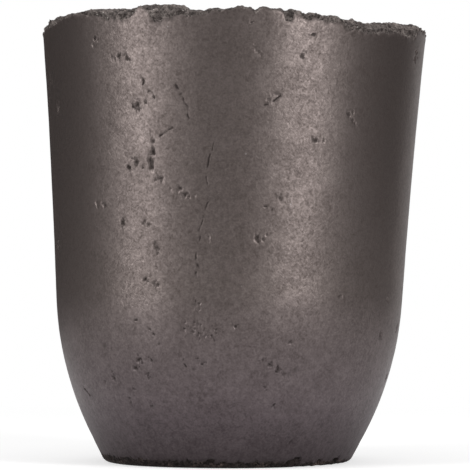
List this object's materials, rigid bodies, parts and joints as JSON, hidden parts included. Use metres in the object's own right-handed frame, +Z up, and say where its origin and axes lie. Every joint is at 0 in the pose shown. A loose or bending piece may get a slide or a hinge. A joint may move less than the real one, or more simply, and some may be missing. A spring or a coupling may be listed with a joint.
{
  "type": "foundry crucible",
  "caption": "Small clay-graphite melting crucible: round flaring cup with a bowl-shaped bottom, a flat foot and a torn, untrimmed rim.",
  "frame": {"origin": "centre of the flat foot, on the surface the crucible stands on", "axes": "+Z up out of the mouth, -Y towards the front, +X to the side that the wall leans to by about one degree"},
  "size_m": [0.1247, 0.1248, 0.1426],
  "materials": {
    "clay_graphite": "fired clay-graphite, dark warm grey, dull silvery flakes with a soft sheen, matt and crumbly where broken"
  },
  "bodies": {
    "root": {"crucible": "clay_graphite"}
  },
  "joints": []
}
